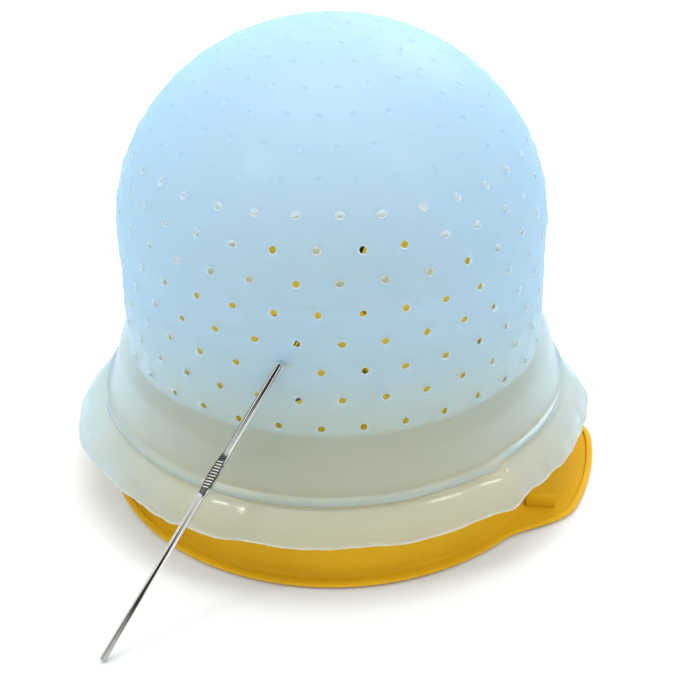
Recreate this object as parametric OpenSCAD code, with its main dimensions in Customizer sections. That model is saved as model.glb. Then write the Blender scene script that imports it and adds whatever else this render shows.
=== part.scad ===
// Silicone hair highlighting cap with its pulling hook, seated on a moulded slotted stand.
// Frame: origin at the centre of the plane the stand rests on, +Z up the cap's axis,
// -Y towards the side where the hook goes in.

/* [Cap] */
// Outer radius of the cap where its wall meets the crown
cap_r = 85.3; // [80:0.1:86]
// Height of the widest ring of the crown above the table
crown_z = 108.9; // [104:0.1:116]
// Rise of the crown above its widest ring
crown_h = 78.1; // [65:0.1:90]
// Outer radius at the neck, where the cap grips the stand
neck_r = 86.9; // [86.7:0.1:88]
// Height of the neck above the table
neck_z = 63; // [63:0.1:64]
// Outer radius of the ridge between shoulder and skirt
ridge_r = 97.5; // [95:0.1:100]
// Height of the ridge above the table
ridge_z = 39.5; // [36:0.1:43]
// Outer radius of the skirt's free edge
skirt_r = 107.5; // [104:0.1:110]
// Height of the skirt's free edge above the table
skirt_z = 26.5; // [21:0.1:31]
// Thickness of the silicone
cap_t = 1.2; // [1:0.05:1.3]

/* [Pull holes] */
// Diameter of a pull hole
hole_d = 2.6; // [2:0.1:3.4]
// Distance from one ring of holes to the next, along the surface
ring_pitch = 11.72; // [11:0.01:12.5]
// Number of rings of holes
rings = 15; // [4:1:15]
// Height of the lowest ring above the neck
first_ring = 3.6; // [3:0.1:5]
// Distance between holes of one ring on the wall
wall_pitch = 15.5; // [14:0.1:20]
// Distance between holes of one ring near the top
top_pitch = 10.3; // [9:0.1:14]

/* [Stand] */
// Outer radius of the stand's lip
rim_r = 100; // [98:0.1:104]
// Height of the flat flange
flange_h = 1.6; // [1.2:0.1:2]
// Height of the raised lip above the table
lip_h = 2.4; // [2:0.1:4]
// Width of the raised lip
lip_w = 2.6; // [1.6:0.1:4]
// Outer radius of the drum at its foot
drum_foot_r = 93.2; // [90:0.1:94]
// Outer radius of the drum at its shoulder
drum_top_r = 85.1; // [83:0.1:85.1]
// Height of the slotted plate above the table
plate_z = 64.5; // [62:0.1:64.5]
// Wall thickness of the stand
stand_t = 2.2; // [1.8:0.1:2.2]
// Number of radial slots in each ring of slots
slots = 14; // [8:1:16]
// Width of a slot
slot_w = 3.6; // [2:0.1:3.8]

/* [Lug] */
// Direction of the lug, turned from the front towards +X
lug_turn = 72; // [60:1:90]
// How far the lug reaches past the lip
lug_out = 13.5; // [8:0.1:18]
// Half angle over which the lug is full width
lug_flat = 12; // [10:1:20]
// Half angle at which the lug has run back into the lip
lug_end = 31; // [26:1:38]
// Distance of the ribs from the axis, along the lug
rib_out = 96; // [95:0.1:98]
// Distance of each rib from the lug's middle line
rib_aside = 26.8; // [20:0.1:28]
// Turn of each rib towards the lug's middle line
rib_skew = 12; // [0:1:20]
// Length of each rib on the lug
rib_l = 12; // [8:0.1:14]
// Height of each rib above the flange
rib_h = 5.6; // [3:0.1:8]
// Thickness of each rib
rib_t = 2; // [1.6:0.1:3]

/* [Hook] */
// Overall length of the hook
hook_l = 137; // [130:0.5:145]
// Length of the round handle below the thumb rest
handle_l = 67.8; // [60:0.1:75]
// Diameter of the handle
handle_d = 2.6; // [2:0.05:3]
// Length of the flattened thumb rest
rest_l = 19.8; // [16:0.1:24]
// Width of the thumb rest at its middle
rest_w = 4.3; // [3.4:0.1:5]
// Thickness of the thumb rest
rest_t = 1.3; // [1:0.05:1.6]
// Diameter of the shaft above the thumb rest
shaft_d = 2.6; // [1.8:0.05:3]
// Diameter of the hooked head at its tip
head_d = 1.8; // [1.2:0.05:2.2]
// Length of the hooked head
head_l = 7; // [5:0.1:9]
// Sideways place of the handle's end on the table
foot_x = -84.8; // [-92:0.1:-80]
// Fore and aft place of the handle's end on the table
foot_y = -132.9; // [-138:0.1:-126]
// Ring of pull holes that the hook goes through
hook_ring = 2; // [1:1:3]
// Turn of the thumb rest's flat about the hook's own axis
rest_turn = 100; // [0:1:180]

/* [Hidden] */

silicone = "lightblue";
plastic = "goldenrod";
steel = "silver";

round_fn = 96;
small_fn = 32;
crown_steps = 16;
top_step = 7;
gap = 0.35;

wall_h = crown_z - neck_z;
crown_mean_r = (cap_r + crown_h) / 2;
hole_turn = -3.4;
plate_under = plate_z - stand_t;
centre_hole_d = 10;
mouth_r = drum_foot_r - stand_t - 0.4;
lug_axis = lug_turn - 90;
lug_root = 2;

// Radius of the wall at a height above the neck
function wall_r(h) = neck_r + (cap_r - neck_r) * sin(90 * h / wall_h);

// Place [radius, height] on the outer surface, s along it from the neck, set in by t
function on_cap(s, t = 0) =
    s < wall_h ? [wall_r(s) - t, neck_z + s]
    : let (a = (s - wall_h) / crown_mean_r * 180 / PI)
      [(cap_r - t) * cos(a), crown_z + (crown_h - t) * sin(a)];

// Tilt of the surface there, 0 on the wall and 90 at the top
function tilt(s) =
    s < wall_h ? 0
    : let (a = (s - wall_h) / crown_mean_r * 180 / PI)
      atan2(sin(a) / crown_h, cos(a) / cap_r);

// Holes in a ring of radius r
function ring_count(r) = round(2 * PI * r / (top_pitch + (wall_pitch - top_pitch) * pow(r / cap_r, 2)));

hook_s = first_ring + hook_ring * ring_pitch;
hook_hole_r = on_cap(hook_s)[0];
hook_hole_turn = hole_turn - 360 / ring_count(hook_hole_r);
hook_hole = [
    hook_hole_r * sin(hook_hole_turn),
    -hook_hole_r * cos(hook_hole_turn),
    on_cap(hook_s)[1]
];
hook_rise = hook_hole[2] - handle_d / 3;
hook_run = norm([hook_hole[0] - foot_x, hook_hole[1] - foot_y]);
hook_lean = atan2(hook_run, hook_rise);
hook_head_turn = atan2(hook_hole[1] - foot_y, hook_hole[0] - foot_x);
foot_lift = handle_d / 2 * sin(hook_lean);
shaft_l = hook_l - handle_l - rest_l - head_l;

// Moves children from the hook's own axis to where the hook lies
module along_hook() {
    translate([foot_x, foot_y, foot_lift])
        rotate([0, hook_lean, hook_head_turn])
            children();
}

// Rods through every pull hole of the rings first to last
module hole_rods(first, last) {
    for (k = [first : last]) {
        s = first_ring + k * ring_pitch;
        p = on_cap(s);
        n = ring_count(p[0]);
        shift = (k % 2) * 180 / n;
        for (i = [0 : n - 1]) {
            rotate([0, 0, hole_turn - shift + i * 360 / n - 90])
                translate([p[0], 0, p[1]])
                    rotate([0, 90 - tilt(s), 0])
                        cylinder(h = 5 * cap_t, d = hole_d, center = true, $fn = small_fn);
        }
    }
}

// Clearance round the hook where it goes through the wall
module hook_way() {
    along_hook()
        translate([0, 0, norm(hook_hole - [foot_x, foot_y, foot_lift]) - 8])
            cylinder(h = 16, d = shaft_d + 2 * gap, $fn = small_fn);
}

wall_rings = floor((wall_h - first_ring) / ring_pitch);
top_rings = floor((wall_h - first_ring + top_step / crown_steps * crown_mean_r * PI / 2) / ring_pitch);

// Place on the dome, i steps up from the wall, set in by t
function on_dome(i, t = 0) = on_cap(wall_h + i / crown_steps * crown_mean_r * PI / 2, t);

module cap_top() {
    outer = [for (i = [top_step : crown_steps]) on_dome(i)];
    inner = [for (i = [crown_steps : -1 : top_step]) on_dome(i, cap_t)];
    color(silicone) difference() {
        rotate_extrude($fn = round_fn) polygon(concat(outer, inner));
        hole_rods(top_rings + 1, rings - 1);
    }
}

module cap_crown() {
    outer = [for (i = [0 : top_step]) on_dome(i)];
    inner = [for (i = [top_step : -1 : 0]) on_dome(i, cap_t)];
    color(silicone) difference() {
        rotate_extrude($fn = round_fn) polygon(concat(outer, inner));
        hole_rods(wall_rings + 1, min(top_rings, rings - 1));
    }
}

module cap_wall() {
    heights = [for (i = [0 : 4]) wall_h * i / 4];
    outer = [for (h = heights) on_cap(min(h, wall_h - 0.001))];
    inner = [for (i = [4 : -1 : 0]) on_cap(min(heights[i], wall_h - 0.001), cap_t)];
    color(silicone) difference() {
        rotate_extrude($fn = round_fn) polygon(concat(outer, inner));
        hole_rods(0, wall_rings);
        hook_way();
    }
}

module cap_shoulder() {
    drop = neck_z - ridge_z;
    color(silicone) rotate_extrude($fn = round_fn) polygon([
        [neck_r, neck_z],
        [neck_r + 2.7, neck_z - 0.25 * drop],
        [neck_r + 5.6, neck_z - 0.6 * drop],
        [ridge_r - 1, ridge_z],
        [ridge_r - 1 - cap_t, ridge_z],
        [neck_r + 5.6 - cap_t, neck_z - 0.6 * drop],
        [neck_r + 2.7 - cap_t, neck_z - 0.25 * drop],
        [neck_r - cap_t, neck_z]
    ]);
}

module cap_skirt() {
    mid_r = (ridge_r + skirt_r) / 2 + 1.2;
    mid_z = (ridge_z + skirt_z) / 2;
    color(silicone) rotate_extrude($fn = round_fn) polygon([
        [ridge_r - 1 - cap_t, ridge_z],
        [ridge_r + 0.6, ridge_z],
        [ridge_r + 1, ridge_z - 1],
        [mid_r, mid_z],
        [skirt_r, skirt_z],
        [skirt_r - cap_t, skirt_z],
        [mid_r - cap_t, mid_z - 0.4],
        [ridge_r - 0.4, ridge_z - 1.8],
        [ridge_r - 1.4 - cap_t, ridge_z - 1.2]
    ]);
}

module slot_ring(r_in, r_out, turn) {
    for (i = [0 : slots - 1]) {
        rotate([0, 0, turn + i * 360 / slots]) {
            translate([r_in, -slot_w / 2, plate_under - 1])
                cube([r_out - r_in, slot_w, stand_t + 2]);
            for (r = [r_in, r_out])
                translate([r, 0, plate_under - 1])
                    cylinder(h = stand_t + 2, d = slot_w, $fn = small_fn);
        }
    }
}

module stand_plate() {
    flat_r = drum_top_r - stand_t;
    color(plastic) difference() {
        translate([0, 0, plate_under]) rotate_extrude($fn = round_fn) {
            square([flat_r, stand_t]);
            translate([flat_r, 0]) intersection() {
                circle(r = stand_t, $fn = small_fn);
                square(stand_t);
            }
        }
        translate([0, 0, plate_under - 1])
            cylinder(h = stand_t + 2, d = centre_hole_d, $fn = small_fn);
        slot_ring(14, 36, 360 / slots / 2);
        slot_ring(48, 66, 0);
    }
}

module stand_drum() {
    color(plastic) rotate_extrude($fn = round_fn) polygon([
        [drum_foot_r, flange_h],
        [drum_top_r, plate_under],
        [drum_top_r - stand_t, plate_under],
        [drum_foot_r - stand_t, flange_h]
    ]);
}

// Radius of the lug's outline at an angle off its middle, set in by d. It starts inside the round
// rim, so that the two outlines cross.
function outline_r(a, d) =
    let (t = max(0, min(1, (lug_end - abs(a)) / (lug_end - lug_flat))))
    rim_r - d - lug_root + (lug_out + lug_root) * t * t * (3 - 2 * t);

module outline(d) {
    circle(r = rim_r - d, $fn = round_fn);
    rotate([0, 0, lug_axis])
        polygon(concat(
            [[0, 0]],
            [for (a = [-lug_end : 2 : lug_end]) outline_r(a, d) * [cos(a), sin(a)]]
        ));
}

module stand_rim() {
    color(plastic) {
        difference() {
            union() {
                linear_extrude(flange_h) outline(0);
                translate([0, 0, flange_h]) linear_extrude(lip_h - flange_h) difference() {
                    outline(0.5);
                    outline(lip_w);
                }
            }
            translate([0, 0, -1]) cylinder(h = flange_h + 2, r = mouth_r, $fn = round_fn);
        }
    }
}

module lug_ribs() {
    color(plastic) for (side = [-1, 1]) {
        rotate([0, 0, lug_axis])
            translate([rib_out, side * rib_aside, flange_h])
                rotate([0, 0, -side * rib_skew])
                    translate([-rib_l / 2, -rib_t / 2, 0])
                        cube([rib_l, rib_t, rib_h]);
    }
}

module hook_handle() {
    color(steel) along_hook() cylinder(h = handle_l, d = handle_d, $fn = small_fn);
}

module hook_thumb_rest() {
    end_w = shaft_d;
    bow = (rest_w - end_w) / 2;
    bow_r = (pow(rest_l / 2, 2) + pow(bow, 2)) / (2 * bow);
    color(steel) along_hook()
        translate([0, 0, handle_l + rest_l / 2])
            rotate([90, 0, rest_turn])
                linear_extrude(rest_t, center = true)
                    intersection() {
                        square([2 * rest_w, rest_l], center = true);
                        translate([bow_r - rest_w / 2, 0]) circle(r = bow_r, $fn = 200);
                        translate([rest_w / 2 - bow_r, 0]) circle(r = bow_r, $fn = 200);
                    }
}

module hook_shaft() {
    color(steel) along_hook()
        translate([0, 0, handle_l + rest_l])
            cylinder(h = shaft_l, d = shaft_d, $fn = small_fn);
}

module hook_head() {
    throat_r = 1.5;
    color(steel) along_hook()
        translate([0, 0, hook_l - head_l])
            rotate([0, 0, rest_turn])
                difference() {
                    union() {
                        cylinder(h = head_l - head_d / 2, d1 = shaft_d, d2 = head_d, $fn = small_fn);
                        translate([0, 0, head_l - head_d / 2]) sphere(d = head_d, $fn = small_fn);
                    }
                    translate([throat_r, 0, head_l - 3.4])
                        rotate([90, 0, 0])
                            cylinder(h = 2 * shaft_d, r = throat_r, center = true, $fn = small_fn);
                }
}

cap_top();
cap_crown();
cap_wall();
cap_shoulder();
cap_skirt();
stand_plate();
stand_drum();
stand_rim();
lug_ribs();
hook_handle();
hook_thumb_rest();
hook_shaft();
hook_head();
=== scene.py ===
"""Looks for a silicone highlighting cap on its slotted stand, with the pulling hook in one hole."""

import math
import random

import bmesh
import bpy
from mathutils import Matrix, Vector, noise


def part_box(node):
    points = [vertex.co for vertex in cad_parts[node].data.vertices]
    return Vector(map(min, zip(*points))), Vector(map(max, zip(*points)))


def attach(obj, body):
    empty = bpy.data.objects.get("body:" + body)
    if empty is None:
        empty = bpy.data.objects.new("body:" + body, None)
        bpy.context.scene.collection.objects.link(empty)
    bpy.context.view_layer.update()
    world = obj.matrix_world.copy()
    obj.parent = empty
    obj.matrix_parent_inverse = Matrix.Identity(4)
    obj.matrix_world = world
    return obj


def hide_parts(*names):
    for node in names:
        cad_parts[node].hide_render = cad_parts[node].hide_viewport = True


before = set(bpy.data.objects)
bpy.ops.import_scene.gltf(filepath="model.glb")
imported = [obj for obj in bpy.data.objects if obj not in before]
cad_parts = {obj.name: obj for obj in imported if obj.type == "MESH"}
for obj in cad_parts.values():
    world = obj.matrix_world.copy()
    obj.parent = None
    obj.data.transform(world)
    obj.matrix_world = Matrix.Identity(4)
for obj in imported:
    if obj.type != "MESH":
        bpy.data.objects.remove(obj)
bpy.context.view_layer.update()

MM = 0.001

# ---------------------------------------------------------------- sizes from the frame

_, top_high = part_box("cap_top")
crown_low, crown_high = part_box("cap_crown")
wall_low, wall_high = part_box("cap_wall")
ridge_low, ridge_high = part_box("cap_shoulder")
skirt_low, skirt_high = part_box("cap_skirt")
plate_low, plate_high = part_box("stand_plate")
drum_low, drum_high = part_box("stand_drum")
rim_low, rim_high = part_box("stand_rim")

CAP_R = crown_high.x
CROWN_Z = crown_low.z
CROWN_H = top_high.z - CROWN_Z
NECK_R = wall_high.x
NECK_Z = wall_low.z
RIDGE_Z = ridge_low.z
RIDGE_R = ridge_high.x + 1.0 * MM
SKIRT_R = skirt_high.x
SKIRT_Z = skirt_low.z
CAP_T = 1.2 * MM
LIP_W = 2.6 * MM

WALL_H = CROWN_Z - NECK_Z
CROWN_MEAN = (CAP_R + CROWN_H) / 2

PLATE_Z = plate_high.z
PLATE_R = plate_high.x
STAND_T = plate_high.z - plate_low.z
FOOT_R = drum_high.x
FLANGE_H = drum_low.z
RIM_R = -rim_low.x
LIP_H = rim_high.z

# ---------------------------------------------------------------- modelling helpers


def only(piece=None):
    """Deselects everything and makes one piece the active one."""
    bpy.ops.object.select_all(action="DESELECT")
    if piece is not None:
        piece.select_set(True)
        bpy.context.view_layer.objects.active = piece


def named(name):
    piece = bpy.context.object
    piece.name = name
    piece.data.name = name
    return piece


def edit(piece):
    only(piece)
    bpy.ops.object.mode_set(mode="EDIT")
    bpy.ops.mesh.select_all(action="SELECT")


def done():
    bpy.ops.object.mode_set(mode="OBJECT")


def smooth(piece, angle=35):
    only(piece)
    bpy.ops.object.shade_smooth_by_angle(angle=math.radians(angle))


def apply(piece, name):
    only(piece)
    bpy.ops.object.modifier_apply(modifier=name)


def clean(piece, doubles=0.004 * MM):
    """Merges doubled points and turns the faces outwards."""
    edit(piece)
    bpy.ops.mesh.remove_doubles(threshold=doubles)
    bpy.ops.mesh.normals_make_consistent(inside=False)
    done()


def join(first, *others):
    only(first)
    for other in others:
        other.select_set(True)
    bpy.ops.object.join()
    return first


def turned(name, outline, steps):
    """A body of revolution about Z: its outline is drawn point by point and then spun."""
    only()
    bpy.ops.mesh.primitive_plane_add(size=MM)
    piece = named(name)
    edit(piece)
    bpy.ops.mesh.merge(type="CENTER")
    bpy.ops.transform.translate(value=(outline[0][0], 0, outline[0][1]))
    for (r0, z0), (r1, z1) in zip(outline, outline[1:]):
        step = (r1 - r0, 0, z1 - z0)
        bpy.ops.mesh.extrude_region_move(TRANSFORM_OT_translate={"value": step})
    bpy.ops.mesh.select_all(action="SELECT")
    bpy.ops.mesh.spin(steps=steps, angle=2 * math.pi, center=(0, 0, 0), axis=(0, 0, 1))
    done()
    clean(piece)
    return piece


def arc(centre, radius, start, end, steps):
    """Points of an arc in the outline's plane, angles in degrees."""
    turns = [math.radians(start + (end - start) * i / steps) for i in range(steps + 1)]
    return [(centre[0] + radius * math.cos(t), centre[1] + radius * math.sin(t)) for t in turns]


def ease(t):
    t = max(0.0, min(1.0, t))
    return t * t * (3 - 2 * t)


# ---------------------------------------------------------------- the cap's surface

HOLE_R = 1.3 * MM
FIRST_RING = 3.6 * MM
RING_PITCH = 11.72 * MM
RINGS = 15
WALL_PITCH = 15.5 * MM
TOP_PITCH = 10.3 * MM
HOLE_TURN = math.radians(-3.4)
HOOK_RING = 2
# Half the side of the patch round a hole, and the points round the hole
BAND = 4.2 * MM
CELL_POINTS = 16
# Places of the cap's finishes in its list of materials
SKIN, EDGE, FILM = 0, 1, 2
# Rings that are open only in part: which holes, counted from the front, negative to the left
OPENED = {5: (0, 4, -3, 8, 11, -9), 6: (1, 2, -1, 6, -5, 9, -8)}
FIRST_CLOSED_RING = 8


def on_cap(s, lift=0.0):
    """Radius and height of the cap's outside, s along it from the neck, lift above it."""
    if s < WALL_H:
        rise = max(s, 0) / WALL_H
        return NECK_R + (CAP_R - NECK_R) * math.sin(math.pi / 2 * rise) + lift, NECK_Z + s
    a = (s - WALL_H) / CROWN_MEAN
    slope = math.atan2(math.sin(a) / CROWN_H, math.cos(a) / CAP_R)
    r = CAP_R * math.cos(a) + lift * math.cos(slope)
    return r, CROWN_Z + CROWN_H * math.sin(a) + lift * math.sin(slope)


def place(r, turn, z):
    """A point at a radius and height, turned from the front towards +X."""
    return Vector((r * math.sin(turn), -r * math.cos(turn), z))


def ring_count(r):
    pitch = TOP_PITCH + (WALL_PITCH - TOP_PITCH) * (r / CAP_R) ** 2
    return round(2 * math.pi * r / pitch)


hook_hole_r, hook_hole_z = on_cap(FIRST_RING + HOOK_RING * RING_PITCH)
HOOK_TURN = HOLE_TURN - 2 * math.pi / ring_count(hook_hole_r)
HOOK_HOLE = place(hook_hole_r, HOOK_TURN, hook_hole_z)


def hole_cell(floor=None):
    """One flat patch of silicone, 16 points round: a collared hole, or a dimple with a floor."""
    proud = 0.5 if floor == SKIN else 1.0
    collar = [(HOLE_R, 0.06), (1.62 * MM, 0.3 * proud), (2.1 * MM, 0.22 * proud), (2.9 * MM, 0.0)]
    only()
    bpy.ops.mesh.primitive_circle_add(vertices=CELL_POINTS, radius=HOLE_R, fill_type="NOTHING")
    cell = named("hole_cell")
    edit(cell)
    bpy.ops.transform.translate(value=(0, 0, collar[0][1] * MM))
    for (r0, h0), (r1, h1) in zip(collar, collar[1:]):
        bpy.ops.mesh.extrude_edges_move(TRANSFORM_OT_translate={"value": (0, 0, (h1 - h0) * MM)})
        bpy.ops.transform.resize(value=(r1 / r0, r1 / r0, 1), center_override=(0, 0, 0))
    bpy.ops.mesh.extrude_edges_move(TRANSFORM_OT_translate={"value": (0, 0, 0)})
    frame_points = bmesh.from_edit_mesh(cell.data)
    for v in frame_points.verts:
        if v.select:
            x, y = v.co.x, v.co.y
            k = round(math.atan2(y, x) / (2 * math.pi / CELL_POINTS)) % CELL_POINTS
            side, along = divmod(k + 2, 4)
            t = along / 2 - 1
            u, w = [(1, t), (-t, 1), (-1, -t), (t, -1)][side % 4]
            v.co = Vector((u * BAND, w * BAND, 0))
    if floor is not None:
        for v in frame_points.verts:
            v.select = v.co.xy.length < HOLE_R * 1.01
        frame_points.select_mode = {"VERT"}
        frame_points.select_flush_mode()
    bmesh.update_edit_mesh(cell.data)
    if floor is not None:
        bpy.ops.mesh.extrude_edges_move(TRANSFORM_OT_translate={"value": (0, 0, -0.3 * MM)})
        bpy.ops.transform.resize(value=(0.7, 0.7, 1), center_override=(0, 0, 0))
        bpy.ops.mesh.edge_face_add()
    done()
    for face in cell.data.polygons:
        out = face.center.xy.length
        if floor == SKIN:
            face.material_index = SKIN
        elif floor is not None and out < HOLE_R * 0.9:
            face.material_index = floor
        else:
            face.material_index = EDGE if out < 1.5 * MM else SKIN
    return cell


def hole_floor(ring, i):
    """What closes a hole: nothing once it is opened, a thin film, or on top the full skin."""
    if ring < min(OPENED) or i in OPENED.get(ring, ()):
        return None
    return FILM if ring < FIRST_CLOSED_RING else SKIN


def perforated_dome():
    """The dome and wall: a ring of cells for each ring of holes, bridged to the next."""
    cells = {floor: hole_cell(floor) for floor in (None, FILM, SKIN)}
    dice = random.Random(7)
    bm = bmesh.new()
    edges_of = []
    slant = hook_slant()
    for k in range(RINGS):
        s = FIRST_RING + k * RING_PITCH
        r_mid, _ = on_cap(s)
        n = ring_count(r_mid)
        start = HOLE_TURN - (k % 2) * math.pi / n
        for i in range(n):
            turn = start + 2 * math.pi * i / n
            for_hook = k == HOOK_RING and i == n - 1
            wander = Vector((dice.uniform(-0.45, 0.45), dice.uniform(-0.4, 0.4), 0)) * MM
            stretch = dice.uniform(0.92, 1.08)
            first = len(bm.verts)
            floor = hole_floor(k, i if i <= n / 2 else i - n)
            bm.from_mesh(cells[floor].data)
            bm.verts.ensure_lookup_table()
            for v in bm.verts[first:]:
                x, y, lift = v.co
                on_edge = max(abs(x), abs(y)) > BAND * 0.99
                if on_edge:
                    angle = x / BAND * math.pi / n
                elif for_hook:
                    x, y = pull(x, y, slant)
                else:
                    x = x * stretch + wander.x
                    y = y / stretch + wander.y
                r, z = on_cap(s + y, lift)
                if not on_edge:
                    angle = x / on_cap(s + y)[0]
                v.co = place(r, turn + angle, z)
        edges_of.append((on_cap(s - BAND)[1], on_cap(s + BAND)[1]))
    bmesh.ops.remove_doubles(bm, verts=bm.verts, dist=0.01 * MM)

    def rim_edges(height):
        return [
            e for e in bm.edges
            if e.is_boundary and all(abs(v.co.z - height) < 0.002 * MM for v in e.verts)
        ]

    for (_, top), (bottom, _) in zip(edges_of, edges_of[1:]):
        bmesh.ops.bridge_loops(bm, edges=rim_edges(top) + rim_edges(bottom))
    top_edges = rim_edges(edges_of[-1][1])
    cover = bmesh.ops.contextual_create(bm, geom=top_edges)["faces"]
    centre = bmesh.ops.poke(bm, faces=cover)["verts"][0]
    centre.co.z = on_cap(WALL_H + CROWN_MEAN * math.pi / 2)[1]
    mesh = bpy.data.meshes.new("cap")
    bm.to_mesh(mesh)
    bm.free()
    for cell in cells.values():
        bpy.data.objects.remove(cell)
    dome = bpy.data.objects.new("cap", mesh)
    bpy.context.scene.collection.objects.link(dome)
    return dome, edges_of[0][0]


def hook_slant():
    """Direction on the wall, sideways and up, in which the hook leans."""
    along = HOOK_AXIS
    sideways = Vector((math.cos(HOOK_TURN), math.sin(HOOK_TURN), 0))
    lean = Vector((along.dot(sideways), along.z))
    return lean.normalized()


def pull(x, y, slant):
    """The hook's hole, drawn long in the direction the hook leans."""
    along = x * slant.x + y * slant.y
    across = -x * slant.y + y * slant.x
    radius = math.hypot(x, y)
    draw = 1.0 + 0.95 * (1 - ease((radius - HOLE_R) / (2.2 * MM)))
    along = along * draw + 0.5 * MM
    return along * slant.x - across * slant.y, along * slant.y + across * slant.x


def skirt_outline():
    """Outline from just under the lowest holes, over shoulder and ridge, to the free edge."""
    drop = NECK_Z - RIDGE_Z
    points = []
    for t in (0.05, 0.09, 0.13, 0.18, 0.24, 0.31, 0.39, 0.47, 0.56, 0.65, 0.74, 0.83, 0.91):
        flare = 2.6 * MM * ease((t + 0.04) / 0.42) + (RIDGE_R - 4.2 * MM - NECK_R) * t ** 1.25
        points.append((NECK_R + flare, NECK_Z - drop * t))
    r, z = RIDGE_R, RIDGE_Z
    bead = ((-1.7, 1.5), (-0.8, 1.5), (0.1, 1.0), (0.5, 0.2), (0.4, -0.7), (-0.3, -1.4))
    groove = ((-0.8, -1.9), (-0.6, -2.4), (0.3, -2.85), (1.3, -3.2))
    points += [(r + dr * MM, z + dz * MM) for dr, dz in bead + groove]
    start_r, start_z = points[-1]
    for i in range(1, 10):
        t = i / 9
        bulge = 1.4 * MM * math.sin(math.pi * t)
        points.append((start_r + (SKIRT_R - start_r) * t + bulge, start_z + (SKIRT_Z - start_z) * t))
    points.append((SKIRT_R + 0.3 * MM, SKIRT_Z - 0.1 * MM))
    points.append((SKIRT_R + 0.6 * MM, SKIRT_Z - 0.5 * MM))
    return points


def waver(turn, scale, seed):
    """Smooth irregular waves round the cap, -1 to 1; a larger scale gives shorter waves."""
    return 1.7 * noise.noise(Vector((scale * math.sin(turn), scale * math.cos(turn), seed)))


def skirt_wave(turn, depth):
    """How far the skirt strays from round: out and down, growing towards its edge.

    The front is nearly smooth, the back hangs steeper, and one fold stands to the right of the front.
    """
    degrees = math.degrees(turn)
    oval = -2.0 * math.cos(2 * turn) - 1.2 * math.sin(turn)
    frilled = 0.35 + 0.65 * ease((abs(degrees - 8) - 22) / 30)
    folds = 1.0 * waver(turn, 4, 3.1) + 0.55 * frilled * waver(turn, 13, 7.7)
    left = 0.8 * math.exp(-(((degrees + 86) / 26) ** 2))
    back = -7.0 * ease((abs(degrees) - 78) / 28)
    fold = 1.9 * math.exp(-(((degrees - 38) / 3.6) ** 2)) * ease((depth - 0.25) / 0.4)
    out = (oval + back) * depth + folds * depth ** 1.5 + left * ease((depth - 0.5) / 0.25) + fold
    dip = 1.6 * math.exp(-(((degrees + 50) / 6) ** 2))
    frill = 1.1 * waver(turn, 15, 5.5) + 0.35 * waver(turn, 34, 9.4)
    edge = 0.9 * waver(turn, 5, 1.2) - dip + frilled * frill
    kink = 2.8 * (ease((degrees - 37) / 5) - ease((degrees - 46) / 36))
    down = edge * depth ** 3 - kink * ease((depth - 0.15) / 0.35)
    return out * MM, down * MM


def make_cap():
    dome, foot_z = perforated_dome()
    outline = skirt_outline()
    lower = turned("cap_lower", outline, 384)
    for face in lower.data.polygons:
        face.material_index = EDGE if face.center.z < SKIRT_Z - 0.1 * MM else SKIN
    finishes = (silicone_finish(), edge_finish(), film_finish())
    paint(dome, *finishes)
    paint(lower, *finishes)
    top_z = outline[0][1]
    span = RIDGE_Z + 10 * MM - SKIRT_Z
    for v in lower.data.vertices:
        depth = ease((RIDGE_Z + 10 * MM - v.co.z) / span)
        r = math.hypot(v.co.x, v.co.y)
        turn = math.atan2(v.co.x, -v.co.y)
        out, down = skirt_wave(turn, depth)
        v.co = place(r + out, turn, v.co.z - down)
    cap = join(dome, lower)
    bm = bmesh.new()
    bm.from_mesh(cap.data)
    seam = [
        e for e in bm.edges
        if e.is_boundary and (
            all(abs(v.co.z - foot_z) < 0.002 * MM for v in e.verts)
            or all(abs(v.co.z - top_z) < 0.002 * MM for v in e.verts)
        )
    ]
    bmesh.ops.bridge_loops(bm, edges=seam)
    bmesh.ops.recalc_face_normals(bm, faces=bm.faces)
    middle = max(bm.faces, key=lambda f: f.calc_center_median().z)
    if middle.normal.z < 0:
        bmesh.ops.reverse_faces(bm, faces=bm.faces)
    for v in bm.verts:
        sway = noise.noise(v.co * 22) * 0.2 * MM
        away = Vector((v.co.x, v.co.y, max(0, v.co.z - CROWN_Z))).normalized()
        v.co += away * sway
    bm.to_mesh(cap.data)
    bm.free()
    wall = cap.modifiers.new("wall", "SOLIDIFY")
    wall.thickness = CAP_T
    wall.offset = -1
    wall.use_even_offset = True
    wall.material_offset_rim = 1
    apply(cap, "wall")
    smooth(cap, 50)
    return cap


# ---------------------------------------------------------------- the stand

LUG_TURN = math.radians(72)
LUG_OUT = rim_high.x - RIM_R
LUG_FLAT = math.radians(12)
LUG_END = math.radians(31)
SLOTS = 14
SLOT_W = 3.6 * MM
SLOT_RINGS = ((14 * MM, 36 * MM, 0.5), (48 * MM, 66 * MM, 0))


def lug_reach(turn):
    off = abs((turn - LUG_TURN + math.pi) % (2 * math.pi) - math.pi)
    return ease((LUG_END - off) / (LUG_END - LUG_FLAT))


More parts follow.
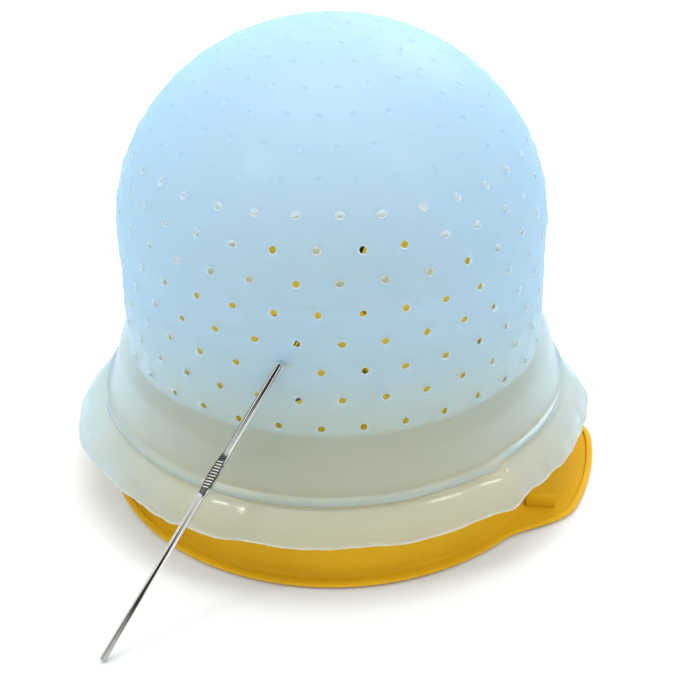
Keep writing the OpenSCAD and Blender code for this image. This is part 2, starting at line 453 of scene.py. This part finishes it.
def stand_outline():
    """Closed outline of the stand's wall, from the middle of the plate round to it again."""
    t = STAND_T
    slope = math.atan2(FOOT_R - PLATE_R, PLATE_Z - FLANGE_H)
    under = PLATE_Z - t
    round_r = 9 * MM
    round_at = (PLATE_R - round_r, PLATE_Z - round_r)
    outside = [(0, PLATE_Z), (10 * MM, PLATE_Z), (40 * MM, PLATE_Z), (70 * MM, PLATE_Z)]
    outside += arc(round_at, round_r, 90, math.degrees(slope), 10)
    foot = (FOOT_R + 0.2 * MM, FLANGE_H + 1.4 * MM)
    outside += [(PLATE_R + (FOOT_R - PLATE_R) * 0.35, PLATE_Z + (FLANGE_H - PLATE_Z) * 0.35)]
    outside += [(PLATE_R + (FOOT_R - PLATE_R) * 0.7, PLATE_Z + (FLANGE_H - PLATE_Z) * 0.7)]
    outside += [(FOOT_R - 0.1 * MM, FLANGE_H + 2.2 * MM), foot, (FOOT_R + 0.7 * MM, FLANGE_H + 0.35 * MM)]
    valley = FLANGE_H - 0.4 * MM
    outside += [(FOOT_R + 1.4 * MM, valley + 0.05 * MM), (FOOT_R + 3.4 * MM, valley)]
    inner = RIM_R - LIP_W
    outside += [(inner - 0.5 * MM, valley), (inner - 0.1 * MM, valley + 0.1 * MM)]
    outside += [(inner + 0.1 * MM, LIP_H - 0.25 * MM), (inner + 0.45 * MM, LIP_H)]
    outside += arc((RIM_R - 0.6 * MM, LIP_H - 0.6 * MM), 0.6 * MM, 90, 0, 5)
    outside += [(RIM_R - 0.1 * MM, 1.45 * MM), (RIM_R - 0.4 * MM, 1.25 * MM), (RIM_R - 2.4 * MM, 1.1 * MM)]
    outside += [(RIM_R - 2.7 * MM, 0), (RIM_R - 5 * MM, 0)]
    mouth = FOOT_R - t
    inside = [(mouth + 0.3 * MM, 0), (mouth, 0.4 * MM), (mouth, FLANGE_H + 1 * MM)]
    inside += [(PLATE_R - t + (mouth - PLATE_R + t) * 0.5, (under + FLANGE_H) / 2)]
    inside += arc(round_at, round_r - t, math.degrees(slope), 90, 6)
    inside += [(60 * MM, under), (20 * MM, under), (0, under)]
    return outside + inside


def slot_cutter(r_in, r_out, turn):
    """An upright bar with round ends that cuts one radial slot."""
    only()
    middle = (r_in + r_out) / 2
    depth = STAND_T * 2
    bpy.ops.mesh.primitive_cylinder_add(
        vertices=24, radius=SLOT_W / 2, depth=depth, location=(0, 0, PLATE_Z - STAND_T / 2)
    )
    cutter = named("slot_cutter")
    reach = (r_out - r_in) / 2
    for v in cutter.data.vertices:
        if abs(v.co.x) > 1e-7:
            v.co.x += math.copysign(reach, v.co.x)
        v.co.x += middle
    cutter.data.transform(Matrix.Rotation(turn, 4, "Z") @ Matrix.Translation(cutter.location))
    cutter.location = (0, 0, 0)
    return cutter


def rib(side):
    """One small upright rib on the lug, with softened edges."""
    _, rib_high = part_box("lug_ribs")
    out, aside, skew = 96 * MM, 26.8 * MM, math.radians(12)
    length, thick = 11.8 * MM, 2.0 * MM
    height = rib_high.z - FLANGE_H + 0.4 * MM
    only()
    bpy.ops.mesh.primitive_cube_add(size=1)
    bar = named("lug_rib")
    bar.data.transform(Matrix.Diagonal((length, thick, height, 1)))
    edit(bar)
    bpy.ops.mesh.bevel(offset=0.3 * MM, segments=3, affect="EDGES")
    done()
    turn = LUG_TURN - math.pi / 2
    here = Vector((out, side * aside, FLANGE_H - 0.4 * MM + height / 2))
    move = Matrix.Rotation(turn, 4, "Z") @ Matrix.Translation(here)
    bar.data.transform(move @ Matrix.Rotation(-side * skew, 4, "Z"))
    return bar


def make_stand():
    stand = turned("stand", stand_outline(), 288)
    grow_from, grow_to = FOOT_R + 3.3 * MM, RIM_R - 3.2 * MM
    for v in stand.data.vertices:
        r = math.hypot(v.co.x, v.co.y)
        if r > grow_from:
            turn = math.atan2(v.co.x, -v.co.y)
            share = ease((r - grow_from) / (grow_to - grow_from))
            v.co = place(r + LUG_OUT * lug_reach(turn) * share, turn, v.co.z)
    cutters = []
    for r_in, r_out, offset in SLOT_RINGS:
        for i in range(SLOTS):
            turn = (i + offset) * 2 * math.pi / SLOTS
            cutters.append(slot_cutter(r_in, r_out, turn))
    cutter = join(*cutters)
    cut = stand.modifiers.new("slots", "BOOLEAN")
    cut.operation = "DIFFERENCE"
    cut.solver = "EXACT"
    cut.object = cutter
    apply(stand, "slots")
    bpy.data.objects.remove(cutter)
    join(stand, rib(-1), rib(1))
    smooth(stand, 32)
    return stand


# ---------------------------------------------------------------- the hook

HOOK_L = 137 * MM
HANDLE_L = 67.8 * MM
REST_L = 19.8 * MM
WIRE_R = 1.3 * MM
HEAD_R = 0.9 * MM
HEAD_L = 7 * MM
REST_W = 4.3 * MM
REST_T = 1.3 * MM
REST_TURN = math.radians(100)
CUT_END = 0.5 * MM
BARS = 10

foot = Vector((-84.8, -132.9, 0)) * MM
lean_run = (HOOK_HOLE - foot).xy.length
HOOK_LEAN = math.atan2(lean_run, HOOK_HOLE.z - WIRE_R * 2 / 3)
HOOK_HEAD = math.atan2(HOOK_HOLE.y - foot.y, HOOK_HOLE.x - foot.x)
foot.z = WIRE_R * math.sin(HOOK_LEAN)
HOOK_SPIN = Matrix.Rotation(HOOK_HEAD, 4, "Z") @ Matrix.Rotation(HOOK_LEAN, 4, "Y")
HOOK_AXIS = (HOOK_SPIN @ Vector((0, 0, 1))).normalized()
HOOK_PLACE = Matrix.Translation(foot) @ HOOK_SPIN @ Matrix.Rotation(REST_TURN, 4, "Z")


def hook_section(h):
    """Half width, half thickness and squareness of the hook at a height along it."""
    blend_in = ease((h - HANDLE_L) / (REST_L * 0.32))
    blend_out = ease((HANDLE_L + REST_L - h) / (REST_L * 0.3))
    flat = min(blend_in, blend_out)
    round_r = WIRE_R + (HEAD_R - WIRE_R) * ease((h - HOOK_L + HEAD_L * 1.6) / HEAD_L)
    middle = 1 - abs(2 * (h - HANDLE_L) / REST_L - 1)
    width = round_r + (REST_W / 2 - round_r) * ease(max(0, middle) ** 0.8)
    thick = round_r + (REST_T / 2 - round_r) * flat
    return width, thick, 2 + 3 * flat


def hook_heights():
    heights = [0, 0.25 * MM, 0.6 * MM, 20 * MM, 45 * MM, 62 * MM]
    heights += [HANDLE_L + REST_L * i / 22 for i in range(23)]
    neck = HANDLE_L + REST_L
    heights += [neck + 12 * MM, neck + 26 * MM, HOOK_L - 8 * MM]
    heights += [HOOK_L - (6.4 - i * 0.32) * MM for i in range(21)]
    return heights


def make_hook():
    heights = hook_heights()
    sides = 28
    only()
    bpy.ops.mesh.primitive_circle_add(vertices=sides, radius=WIRE_R, fill_type="NGON")
    hook = named("hook")
    edit(hook)
    for low, high in zip(heights, heights[1:]):
        bpy.ops.mesh.extrude_region_move(TRANSFORM_OT_translate={"value": (0, 0, high - low)})
    done()
    for v in hook.data.vertices:
        h = v.co.z
        turn = math.atan2(v.co.y, v.co.x)
        half_w, half_t, square = hook_section(h)
        power = 2 / square
        c, s = math.cos(turn), math.sin(turn)
        x = half_w * math.copysign(abs(c) ** power, c)
        y = half_t * math.copysign(abs(s) ** power, s)
        if h < CUT_END:
            taper = 0.82 + 0.18 * h / CUT_END
            x, y = x * taper, y * taper
            h += 0.3 * MM * abs(c) if h < 0.1 * MM else 0
        to_tip = HOOK_L - h
        tip = HEAD_R * 1.15
        if to_tip < tip:
            shrink = math.sqrt(max(0.0, 1 - (1 - to_tip / tip) ** 2)) * 0.98 + 0.02
            x, y = x * shrink, y * shrink
        throat = ease((to_tip - 1.0 * MM) / (0.5 * MM)) * ease((5.2 * MM - to_tip) / (3.4 * MM))
        if throat > 0:
            x = min(x, HEAD_R * (1 - 1.25 * throat))
        v.co = Vector((x, y, h))
    clean(hook, 0.0005 * MM)
    hook.data.transform(HOOK_PLACE)
    smooth(hook, 40)
    return hook


def make_bars():
    """Plain raised bars across the thumb rest, for grip."""
    bars = []
    for i in range(BARS):
        t = (i + 0.5) / BARS * 2 - 1
        h = HANDLE_L + REST_L / 2 + t * REST_L * 0.29
        half_w, half_t, _ = hook_section(h)
        only()
        bpy.ops.mesh.primitive_cube_add(size=1)
        bar = named("grip_bar")
        bar.data.transform(Matrix.Diagonal((half_w * 1.35, 0.5 * MM, 0.42 * MM, 1)))
        edit(bar)
        bpy.ops.mesh.bevel(offset=0.1 * MM, segments=2, affect="EDGES")
        done()
        bar.data.transform(Matrix.Translation((0, half_t, h)) @ Matrix.Rotation(0.35, 4, "Y"))
        bars.append(bar)
    bars = join(*bars)
    bars.name = "thumb_rest_bars"
    bars.data.name = "thumb_rest_bars"
    bars.data.transform(HOOK_PLACE)
    smooth(bars, 40)
    return bars


# ---------------------------------------------------------------- finishes


class Number:
    """A shader number: sums on it add Math nodes."""

    def __init__(self, finish, socket):
        self.finish, self.socket = finish, socket

    def _math(self, operation, a, b):
        return self.finish.add("ShaderNodeMath", {"operation": operation}, {0: a, 1: b})

    def __add__(self, other):
        return self._math("ADD", self, other)

    def __mul__(self, other):
        return self._math("MULTIPLY", self, other)

    def __rsub__(self, other):
        return self._math("SUBTRACT", other, self)

    def __pow__(self, other):
        return self._math("POWER", self, other)

    __radd__ = __add__
    __rmul__ = __mul__

    def ramp(self, low, high):
        """0 at low to 1 at high, eased."""
        settings = {"interpolation_type": "SMOOTHSTEP"}
        return self.finish.add("ShaderNodeMapRange", settings, {0: self, 1: low, 2: high})


class Finish:
    """A material: one Principled shader and the nodes that feed it."""

    def __init__(self, name, **constants):
        self.material = bpy.data.materials.new(name)
        self.material.use_nodes = True
        self.tree = self.material.node_tree
        self.tree.nodes.clear()
        self.shader = self.tree.nodes.new("ShaderNodeBsdfPrincipled")
        for key, value in constants.items():
            self.set(self.shader.inputs[key.replace("_", " ")], value)
        self.output = self.tree.nodes.new("ShaderNodeOutputMaterial")
        self.tree.links.new(self.shader.outputs[0], self.output.inputs["Surface"])

    def set(self, socket, value):
        if isinstance(value, Number):
            self.tree.links.new(value.socket, socket)
        elif isinstance(value, tuple) and socket.type == "RGBA":
            socket.default_value = (*value, 1)
        else:
            socket.default_value = value

    def add(self, kind, settings=None, inputs=None, out=0):
        node = self.tree.nodes.new(kind)
        for key, value in (settings or {}).items():
            setattr(node, key, value)
        for key, value in (inputs or {}).items():
            self.set(node.inputs[key], value)
        return Number(self, node.outputs[out])

    def at(self, scale=(1, 1, 1), turn=(0, 0, 0), shift=(0, 0, 0)):
        """Object coordinates in a frame that is shifted, turned and scaled."""
        here = self.add("ShaderNodeTexCoord", out="Object")
        inputs = {"Vector": here, "Location": shift, "Rotation": turn, "Scale": scale}
        return self.add("ShaderNodeMapping", {"vector_type": "TEXTURE"}, inputs)

    def noise(self, scale, detail=3.0, where=None, roughness=0.5):
        inputs = {"Scale": scale, "Detail": detail, "Roughness": roughness}
        inputs["Vector"] = where or self.at()
        return self.add("ShaderNodeTexNoise", None, inputs)

    def mix(self, share, one, other):
        """A colour between one and other."""
        settings = {"data_type": "RGBA"}
        return self.add("ShaderNodeMix", settings, {0: share, 6: one, 7: other}, out=2)

    def feed(self, name, value):
        self.set(self.shader.inputs[name], value)

    def layer(self, share, other):
        """Mixes another shader into the surface."""
        surface = self.output.inputs["Surface"]
        under = Number(self, surface.links[0].from_socket)
        self.set(surface, self.add("ShaderNodeMixShader", None, {0: share, 1: under, 2: other}))

    def bump(self, height, distance, strength=1.0):
        inputs = {"Height": height, "Distance": distance, "Strength": strength}
        self.feed("Normal", self.add("ShaderNodeBump", None, inputs))


def silicone_finish():
    """Pale blue frosted silicone, drawn thinner and clearer towards the shoulder and skirt, where a
    painted yellow-green cast stands in for light from the yellow stand.
    """
    f = Finish(
        "silicone",
        IOR=1.41,
        Transmission_Weight=0.8,
        Coat_Roughness=0.11,
        Coat_IOR=1.4,
    )
    cloud = f.noise(14, 2).ramp(0.3, 0.7)
    height = f.add("ShaderNodeSeparateXYZ", None, {"Vector": f.at()}, out="Z")
    thick = height.ramp(NECK_Z - 10 * MM, NECK_Z + 34 * MM)
    # Lower down the tint is less blue and turns yellow-green: thinner silicone, plus a painted cast of
    # yellow light from the stand behind.
    thin_tint_with_painted_cast = f.mix(cloud, (0.83, 0.93, 0.865), (0.87, 0.95, 0.895))
    thick_tint = f.mix(cloud, (0.785, 0.90, 1.0), (0.825, 0.923, 1.0))
    f.feed("Base Color", f.mix(thick, thin_tint_with_painted_cast, thick_tint))
    speck = f.noise(900, 2)
    f.bump(speck, 0.02 * MM, 0.5)
    f.feed("Roughness", 0.32 + 0.12 * thick + 0.1 * speck)
    f.feed("Coat Weight", 0.9 - 0.75 * thick)
    glow = f.add("ShaderNodeBsdfTranslucent", None, {"Color": (0.76, 0.90, 1.0)})
    f.layer(0.2 + 0.25 * thick + 0.05 * cloud, glow)
    slant = f.add("ShaderNodeLayerWeight", None, {"Blend": 0.5}, out="Facing")
    veil = f.add("ShaderNodeBsdfDiffuse", None, {"Color": (0.42, 0.76, 1.0)})
    f.layer(0.36 * slant ** 1.5, veil)
    return f.material


def film_finish():
    """The thin, clear film in the holes that are still closed."""
    f = Finish("silicone_film", IOR=1.41, Transmission_Weight=0.95)
    speck = f.noise(900, 2)
    f.feed("Base Color", f.mix(speck, (0.93, 0.95, 0.95), (0.97, 0.98, 0.98)))
    f.feed("Roughness", 0.1 + 0.06 * speck)
    glow = f.add("ShaderNodeBsdfTranslucent", None, {"Color": (0.9, 0.94, 0.97)})
    f.layer(0.2 + 0.08 * speck, glow)
    return f.material


def edge_finish():
    """The rolled edges of the silicone: a little milkier."""
    f = Finish("silicone_edge", IOR=1.41, Transmission_Weight=0.7, Coat_Weight=0.4, Coat_Roughness=0.2)
    speck = f.noise(900, 2)
    f.feed("Base Color", f.mix(speck, (0.72, 0.85, 0.87), (0.78, 0.89, 0.91)))
    f.feed("Roughness", 0.35 + 0.1 * speck)
    return f.material


def plastic_finish():
    """Warm yellow moulded plastic with a fine spark texture and faint flow marks."""
    f = Finish("yellow_plastic", IOR=1.5, Specular_IOR_Level=0.13)
    flow = f.noise(9, 3).ramp(0.35, 0.65)
    f.feed("Base Color", f.mix(flow, (0.68, 0.37, 0.008), (0.76, 0.42, 0.011)))
    grain = f.noise(1400, 2)
    f.feed("Roughness", 0.46 + 0.12 * grain + 0.05 * flow)
    f.bump(grain, 0.03 * MM, 0.6)
    return f.material


def steel_finish():
    """Bright nickel plate with draw lines; the long dark and light streaks along the wire are painted
    reflections.
    """
    f = Finish("polished_steel", Metallic=1.0)
    along = f.at(scale=(1, 1, 120), turn=tuple(HOOK_SPIN.to_euler()), shift=tuple(foot))
    lines = f.noise(2600, 2, along)
    # Painted reflections: the dark and light streaks along the wire stand in for what the polished plate
    # mirrors.
    painted_reflection_streak = f.noise(2300, 0, along).ramp(0.40, 0.5)
    wear = f.noise(240, 3).ramp(0.45, 0.75)
    dark = f.mix(lines, (0.02, 0.019, 0.017), (0.10, 0.096, 0.085))
    light = f.mix(lines, (0.74, 0.72, 0.67), (0.98, 0.96, 0.92))
    f.feed("Base Color", f.mix(painted_reflection_streak, dark, light))
    f.feed("Roughness", 0.14 + 0.12 * lines + 0.1 * wear)
    f.bump(lines, 0.01 * MM, 0.4)
    return f.material


def bar_finish():
    """The rubbed tops of the raised bars: bright, finely scratched steel."""
    f = Finish("rubbed_steel", Metallic=1.0)
    scratch = f.noise(3000, 3)
    f.feed("Base Color", f.mix(scratch, (0.66, 0.65, 0.61), (0.93, 0.92, 0.88)))
    f.feed("Roughness", 0.22 + 0.2 * scratch)
    f.bump(scratch, 0.01 * MM, 0.4)
    return f.material


def pressed_painted_dark_finish():
    """The pressed thumb rest: duller steel with die marks, its near-black colour a painted dark
    reflection.
    """
    f = Finish("pressed_steel_painted_dark", Metallic=1.0)
    marks = f.noise(1800, 4)
    patch = f.noise(400, 2).ramp(0.4, 0.7)
    # Painted dark reflection: the flat sides are coloured near black, far darker than the steel itself.
    f.feed("Base Color", f.mix(patch, (0.07, 0.07, 0.06), (0.14, 0.135, 0.12)))
    f.feed("Roughness", 0.34 + 0.2 * marks)
    f.bump(marks, 0.02 * MM, 0.5)
    return f.material


def press_rest(hook):
    """Gives the two flat sides of the thumb rest the second finish, the one with the painted dark
    reflection.
    """
    middle = HANDLE_L + REST_L / 2
    to_hook = HOOK_PLACE.inverted()
    for face in hook.data.polygons:
        spot = to_hook @ face.center
        across = to_hook.to_3x3() @ face.normal
        if abs(spot.z - middle) < REST_L * 0.42 and abs(across.y) > 0.8:
            face.material_index = 1


def floor_finish():
    """Matt off-white floor."""
    grey = (0.80, 0.80, 0.80)
    return Finish("white_floor", Base_Color=grey, Roughness=0.9, Specular_IOR_Level=0.1).material


def paint(piece, *materials):
    for material in materials:
        piece.data.materials.append(material)


# ---------------------------------------------------------------- studio


def camera():
    """Slightly above the cap, looking down at it from the front."""
    distance = 0.5
    raise_angle = math.radians(32.45)
    roll = math.radians(-1.25)
    aim = Vector((1.92, 0, 49.25)) * MM
    back = Vector((0, -math.cos(raise_angle), math.sin(raise_angle)))
    up = Vector((0, math.sin(raise_angle), math.cos(raise_angle)))
    right = Vector((1, 0, 0))
    x_axis = math.cos(roll) * right + math.sin(roll) * up
    y_axis = -math.sin(roll) * right + math.cos(roll) * up
    data = bpy.data.cameras.new("camera")
    data.lens = 61.73
    data.sensor_width = 36
    data.clip_start = 0.01
    seen = bpy.data.objects.new("camera", data)
    spin = Matrix((x_axis, y_axis, back)).transposed().to_4x4()
    seen.matrix_world = Matrix.Translation(aim + back * distance) @ spin
    bpy.context.scene.collection.objects.link(seen)
    bpy.context.scene.camera = seen


def soft_light(name, place_at, aim, size, power):
    data = bpy.data.lights.new(name, "AREA")
    data.shape = "DISK"
    data.size = size
    data.energy = power
    lamp = bpy.data.objects.new(name, data)
    lamp.location = place_at
    direction = Vector(aim) - Vector(place_at)
    lamp.rotation_euler = direction.to_track_quat("-Z", "Y").to_euler()
    bpy.context.scene.collection.objects.link(lamp)


def sky(low, high):
    """A soft tent of light: its strength rises from low at the horizon to high overhead."""
    world = bpy.data.worlds.new("studio")
    bpy.context.scene.world = world
    world.use_nodes = True
    tree = world.node_tree
    glow = tree.nodes["Background"]
    glow.inputs["Color"].default_value = (0.93, 0.97, 1, 1)
    direction = tree.nodes.new("ShaderNodeTexCoord")
    split = tree.nodes.new("ShaderNodeSeparateXYZ")
    rise = tree.nodes.new("ShaderNodeMapRange")
    rise.interpolation_type = "SMOOTHSTEP"
    for name, value in (("From Min", 0.0), ("From Max", 0.75), ("To Min", low), ("To Max", high)):
        rise.inputs[name].default_value = value
    tree.links.new(direction.outputs["Generated"], split.inputs["Vector"])
    tree.links.new(split.outputs["Z"], rise.inputs["Value"])
    tree.links.new(rise.outputs["Result"], glow.inputs["Strength"])


def studio():
    bpy.context.scene.view_settings.view_transform = "Standard"
    sky(0.72, 1.03)
    only()
    bpy.ops.mesh.primitive_plane_add(size=12, location=(0, 0, 0))
    floor = named("floor")
    paint(floor, floor_finish())
    soft_light("overhead", (-0.05, 0.15, 1.2), (0, 0, 0.08), 0.9, 8)
    soft_light("back_window", (0.42, 0.74, 0.7), (0, 0, 0.17), 0.36, 2.4)
    soft_light("left_front", (-0.8, -0.45, 1.3), (0, 0, 0.06), 0.26, 2.6)
    soft_light("right_front", (0.8, -0.45, 1.3), (0, 0, 0.06), 0.26, 2.6)


camera()
studio()

cap = make_cap()
stand = make_stand()
hook = make_hook()
bars = make_bars()

paint(stand, plastic_finish())
paint(hook, steel_finish(), pressed_painted_dark_finish())
press_rest(hook)
paint(bars, bar_finish())

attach(cap, "cap")
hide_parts("cap_top", "cap_crown", "cap_wall", "cap_shoulder", "cap_skirt")
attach(stand, "stand")
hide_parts("stand_plate", "stand_drum", "stand_rim", "lug_ribs")
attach(hook, "hook")
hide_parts("hook_handle", "hook_thumb_rest", "hook_shaft", "hook_head")
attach(bars, "hook")
